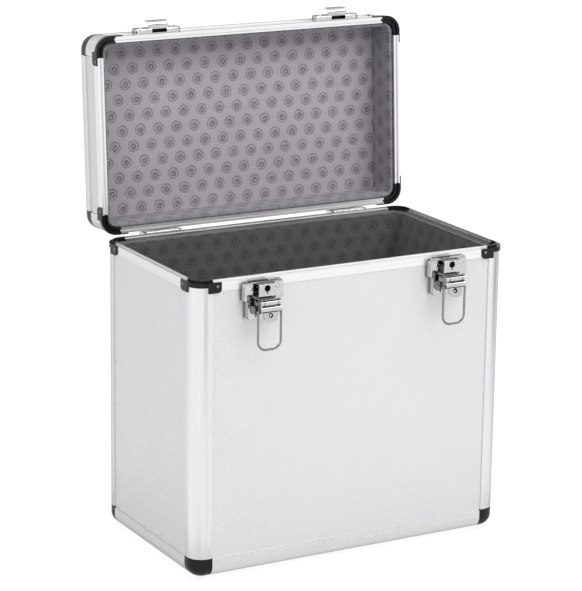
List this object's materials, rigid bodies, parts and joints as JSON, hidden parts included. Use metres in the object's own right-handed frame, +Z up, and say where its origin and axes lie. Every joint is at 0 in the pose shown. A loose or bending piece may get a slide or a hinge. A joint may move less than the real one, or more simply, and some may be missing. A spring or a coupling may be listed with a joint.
{
  "type": "record carrying case",
  "caption": "Upright carrying case with embossed panels, rounded metal edges, a shallow hinged lid held open, draw latches with wire bails and a padded lining.",
  "frame": {"origin": "on the floor, level with the underside of the feet, under the middle of the case as it stands open", "axes": "+X to the right of the latched front, +Y to the hinged back, +Z up"},
  "size_m": [0.3484, 0.288, 0.5085],
  "materials": {
    "embossed_panel": "board faced with a thin skin of fine diamond-embossed aluminium, satin",
    "aluminium_profile": "smooth satin anodised extrusion",
    "black_corner": "moulded, fine texture, slight sheen",
    "lining_foam": "soft foam sheet embossed with rows of small round spirals",
    "latch_chrome": "bright plated pressed steel",
    "hinge_steel": "bright plated steel",
    "rivet_metal": "domed blind rivet",
    "corner_rivet_metal": "small dark rivet",
    "lock_steel": "dull steel",
    "foot_rubber": "matt",
    "grip_plastic": "moulded, fine texture"
  },
  "bodies": {
    "body": {"body_panel_front": "embossed_panel", "body_panel_back": "embossed_panel", "body_panel_left": "embossed_panel", "body_panel_right": "embossed_panel", "body_panel_bottom": "embossed_panel", "body_lining_walls": "lining_foam", "body_lining_floor": "lining_foam", "body_corner_posts": "aluminium_profile", "body_bottom_edges": "aluminium_profile", "body_ball_corners": "black_corner", "body_rim_front": "aluminium_profile", "body_rim_back": "aluminium_profile", "body_rim_left": "aluminium_profile", "body_rim_right": "aluminium_profile", "body_rim_corner_fl": "black_corner", "body_rim_corner_fr": "black_corner", "body_rim_corner_bl": "black_corner", "body_rim_corner_br": "black_corner", "body_feet": "foot_rubber", "latch_base_l": "latch_chrome", "latch_base_r": "latch_chrome", "latch_pins": "latch_chrome", "hinge_body_leaf_l": "hinge_steel", "hinge_body_leaf_r": "hinge_steel", "hinge_pins": "hinge_steel", "body_rivets": "rivet_metal", "body_corner_rivets": "corner_rivet_metal"},
    "lid": {"lid_panel_front": "embossed_panel", "lid_panel_back": "embossed_panel", "lid_panel_left": "embossed_panel", "lid_panel_right": "embossed_panel", "lid_panel_top": "embossed_panel", "lid_lining_walls": "lining_foam", "lid_lining_top": "lining_foam", "lid_corner_posts": "aluminium_profile", "lid_top_edges": "aluminium_profile", "lid_ball_corners": "black_corner", "lid_rim_front": "aluminium_profile", "lid_rim_back": "aluminium_profile", "lid_rim_left": "aluminium_profile", "lid_rim_right": "aluminium_profile", "lid_rim_corner_fl": "black_corner", "lid_rim_corner_fr": "black_corner", "lid_rim_corner_bl": "black_corner", "lid_rim_corner_br": "black_corner", "latch_strike_l": "latch_chrome", "latch_strike_r": "latch_chrome", "hinge_lid_leaf_l": "hinge_steel", "hinge_lid_leaf_r": "hinge_steel", "handle_brackets": "hinge_steel", "lid_rivets": "rivet_metal", "lid_corner_rivets": "corner_rivet_metal"},
    "lever_l": {"latch_lever_l": "latch_chrome"},
    "lever_r": {"latch_lever_r": "latch_chrome"},
    "bail_l": {"latch_bail_l": "latch_chrome"},
    "bail_r": {"latch_bail_r": "latch_chrome"},
    "lock_l": {"lock_barrel_l": "lock_steel"},
    "lock_r": {"lock_barrel_r": "lock_steel"},
    "handle": {"handle_rod": "hinge_steel", "handle_grip": "grip_plastic"}
  },
  "joints": [
    {"name": "lid_hinge", "type": "hinge", "parent": "body", "child": "lid", "pos_m": [0, 0.07715, 0.2977], "axis": [1, 0, 0], "range_deg": [0, 93.6]},
    {"name": "handle_swing", "type": "hinge", "parent": "lid", "child": "handle", "pos_m": [0, 0.13662, 0.39566], "axis": [1, 0, 0], "range_deg": [-1, 174]},
    {"name": "lever_l_pivot", "type": "hinge", "parent": "body", "child": "lever_l", "pos_m": [-0.1025, -0.13915, 0.2765], "axis": [-1, 0, 0], "range_deg": [0, 150]},
    {"name": "bail_l_swing", "type": "hinge", "parent": "lever_l", "child": "bail_l", "pos_m": [-0.1025, -0.13955, 0.269], "axis": [-1, 0, 0], "range_deg": [-24, 194]},
    {"name": "lock_l_turn", "type": "hinge", "parent": "body", "child": "lock_l", "pos_m": [-0.1025, -0.13035, 0.2891], "axis": [0, -1, 0], "range_deg": [0, 90]},
    {"name": "lever_r_pivot", "type": "hinge", "parent": "body", "child": "lever_r", "pos_m": [0.1025, -0.13915, 0.2765], "axis": [-1, 0, 0], "range_deg": [0, 150]},
    {"name": "bail_r_swing", "type": "hinge", "parent": "lever_r", "child": "bail_r", "pos_m": [0.1025, -0.13955, 0.269], "axis": [-1, 0, 0], "range_deg": [-24, 194]},
    {"name": "lock_r_turn", "type": "hinge", "parent": "body", "child": "lock_r", "pos_m": [0.1025, -0.13035, 0.2891], "axis": [0, -1, 0], "range_deg": [0, 90]}
  ]
}
